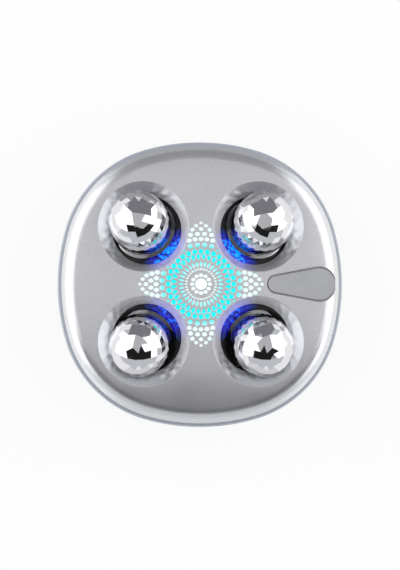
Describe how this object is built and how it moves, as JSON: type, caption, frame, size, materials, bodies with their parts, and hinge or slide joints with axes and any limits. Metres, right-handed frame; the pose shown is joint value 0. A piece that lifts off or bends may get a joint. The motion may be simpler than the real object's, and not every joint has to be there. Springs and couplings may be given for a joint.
{
  "type": "facial toning device",
  "caption": "Rounded square hand-held facial toning device with faceted ball rollers in its corners, a lit dot grille, a silicone port cover and a button on its back.",
  "frame": {"origin": "middle of the flat rest face on the back, at the centre of the outline", "axes": "+Z out of the treatment face, along the rollers; +X towards the charging port; +Y towards the rear edge"},
  "size_m": [0.1, 0.1, 0.0475],
  "materials": {
    "cover_paint": "metallic silver lacquer on moulded plastic, satin",
    "shell_lacquer": "metallic blue-grey lacquer on moulded plastic",
    "seal_rubber": "matt seal cord",
    "diffuser": "translucent, lit from behind",
    "white_plastic": "white moulded plastic",
    "led_board": "solder mask",
    "led_body": "small surface lights",
    "blue_led": "blue surface light",
    "screw_steel": "nickel plated steel",
    "circuit_board": "green solder mask",
    "board_part_black": "moulded black",
    "foam": "foam pad",
    "cell_wrap": "foil pouch",
    "silicone": "matt silicone, light grey",
    "port_steel": "plain",
    "button_plastic": "silver lacquered plastic",
    "status_lens": "milky light guide",
    "socket_black": "black moulded plastic",
    "glow_lens": "clear, lit blue",
    "bush_bronze": "sintered bronze",
    "roller_chrome": "mirror plating",
    "shaft_steel": "ground steel",
    "spring_steel": "blued spring steel",
    "contact_bronze": "phosphor bronze"
  },
  "bodies": {
    "case": {"treatment_cover": "cover_paint", "palm_shell": "shell_lacquer", "case_seal": "seal_rubber", "grille_diffuser": "diffuser", "light_box": "white_plastic", "led_board": "led_board", "grille_leds": "led_body", "board_spacers": "white_plastic", "glow_leds": "blue_led", "socket_screws": "screw_steel", "main_board": "circuit_board", "board_parts": "board_part_black", "inner_frame": "white_plastic", "battery_pad": "foam", "battery": "cell_wrap", "board_screws": "screw_steel", "port_cover_root": "silicone", "usb_socket": "port_steel", "usb_board": "circuit_board", "switch_housing": "port_steel", "button_board": "circuit_board", "status_lens": "status_lens", "socket_cup_rear_right": "socket_black", "glow_lens_rear_right": "glow_lens", "shaft_bush_rear_right": "bush_bronze", "contact_spring_rear_right": "contact_bronze", "socket_cup_rear_left": "socket_black", "glow_lens_rear_left": "glow_lens", "shaft_bush_rear_left": "bush_bronze", "contact_spring_rear_left": "contact_bronze", "socket_cup_front_left": "socket_black", "glow_lens_front_left": "glow_lens", "shaft_bush_front_left": "bush_bronze", "contact_spring_front_left": "contact_bronze", "socket_cup_front_right": "socket_black", "glow_lens_front_right": "glow_lens", "shaft_bush_front_right": "bush_bronze", "contact_spring_front_right": "contact_bronze"},
    "port_flap": {"port_cover": "silicone"},
    "button": {"power_button": "button_plastic", "switch_plunger": "board_part_black"},
    "roller_rear_right": {"roller_ball_rear_right": "roller_chrome", "roller_shaft_rear_right": "shaft_steel", "shaft_clip_rear_right": "spring_steel"},
    "roller_rear_left": {"roller_ball_rear_left": "roller_chrome", "roller_shaft_rear_left": "shaft_steel", "shaft_clip_rear_left": "spring_steel"},
    "roller_front_left": {"roller_ball_front_left": "roller_chrome", "roller_shaft_front_left": "shaft_steel", "shaft_clip_front_left": "spring_steel"},
    "roller_front_right": {"roller_ball_front_right": "roller_chrome", "roller_shaft_front_right": "shaft_steel", "shaft_clip_front_right": "spring_steel"}
  },
  "joints": [
    {"name": "roller_spin_rear_right", "type": "hinge", "parent": "case", "child": "roller_rear_right", "pos_m": [0.02178, 0.02178, 0.037], "axis": [0.2418, 0.2418, 0.9397], "continuous": true},
    {"name": "roller_spin_rear_left", "type": "hinge", "parent": "case", "child": "roller_rear_left", "pos_m": [-0.02178, 0.02178, 0.037], "axis": [-0.2418, 0.2418, 0.9397], "continuous": true},
    {"name": "roller_spin_front_left", "type": "hinge", "parent": "case", "child": "roller_front_left", "pos_m": [-0.02178, -0.02178, 0.037], "axis": [-0.2418, -0.2418, 0.9397], "continuous": true},
    {"name": "roller_spin_front_right", "type": "hinge", "parent": "case", "child": "roller_front_right", "pos_m": [0.02178, -0.02178, 0.037], "axis": [0.2418, -0.2418, 0.9397], "continuous": true},
    {"name": "port_flap_bend", "type": "hinge", "parent": "case", "child": "port_flap", "pos_m": [0.0266, 0, 0.0341], "axis": [0, -1, 0], "range_deg": [0, 100], "stiffness_Nm_per_rad": 0.0015},
    {"name": "button_press", "type": "slide", "parent": "case", "child": "button", "axis": [0, 0, 1], "range_m": [0, 0.0006], "stiffness_N_per_m": 800, "springref_m": -0.0004}
  ]
}
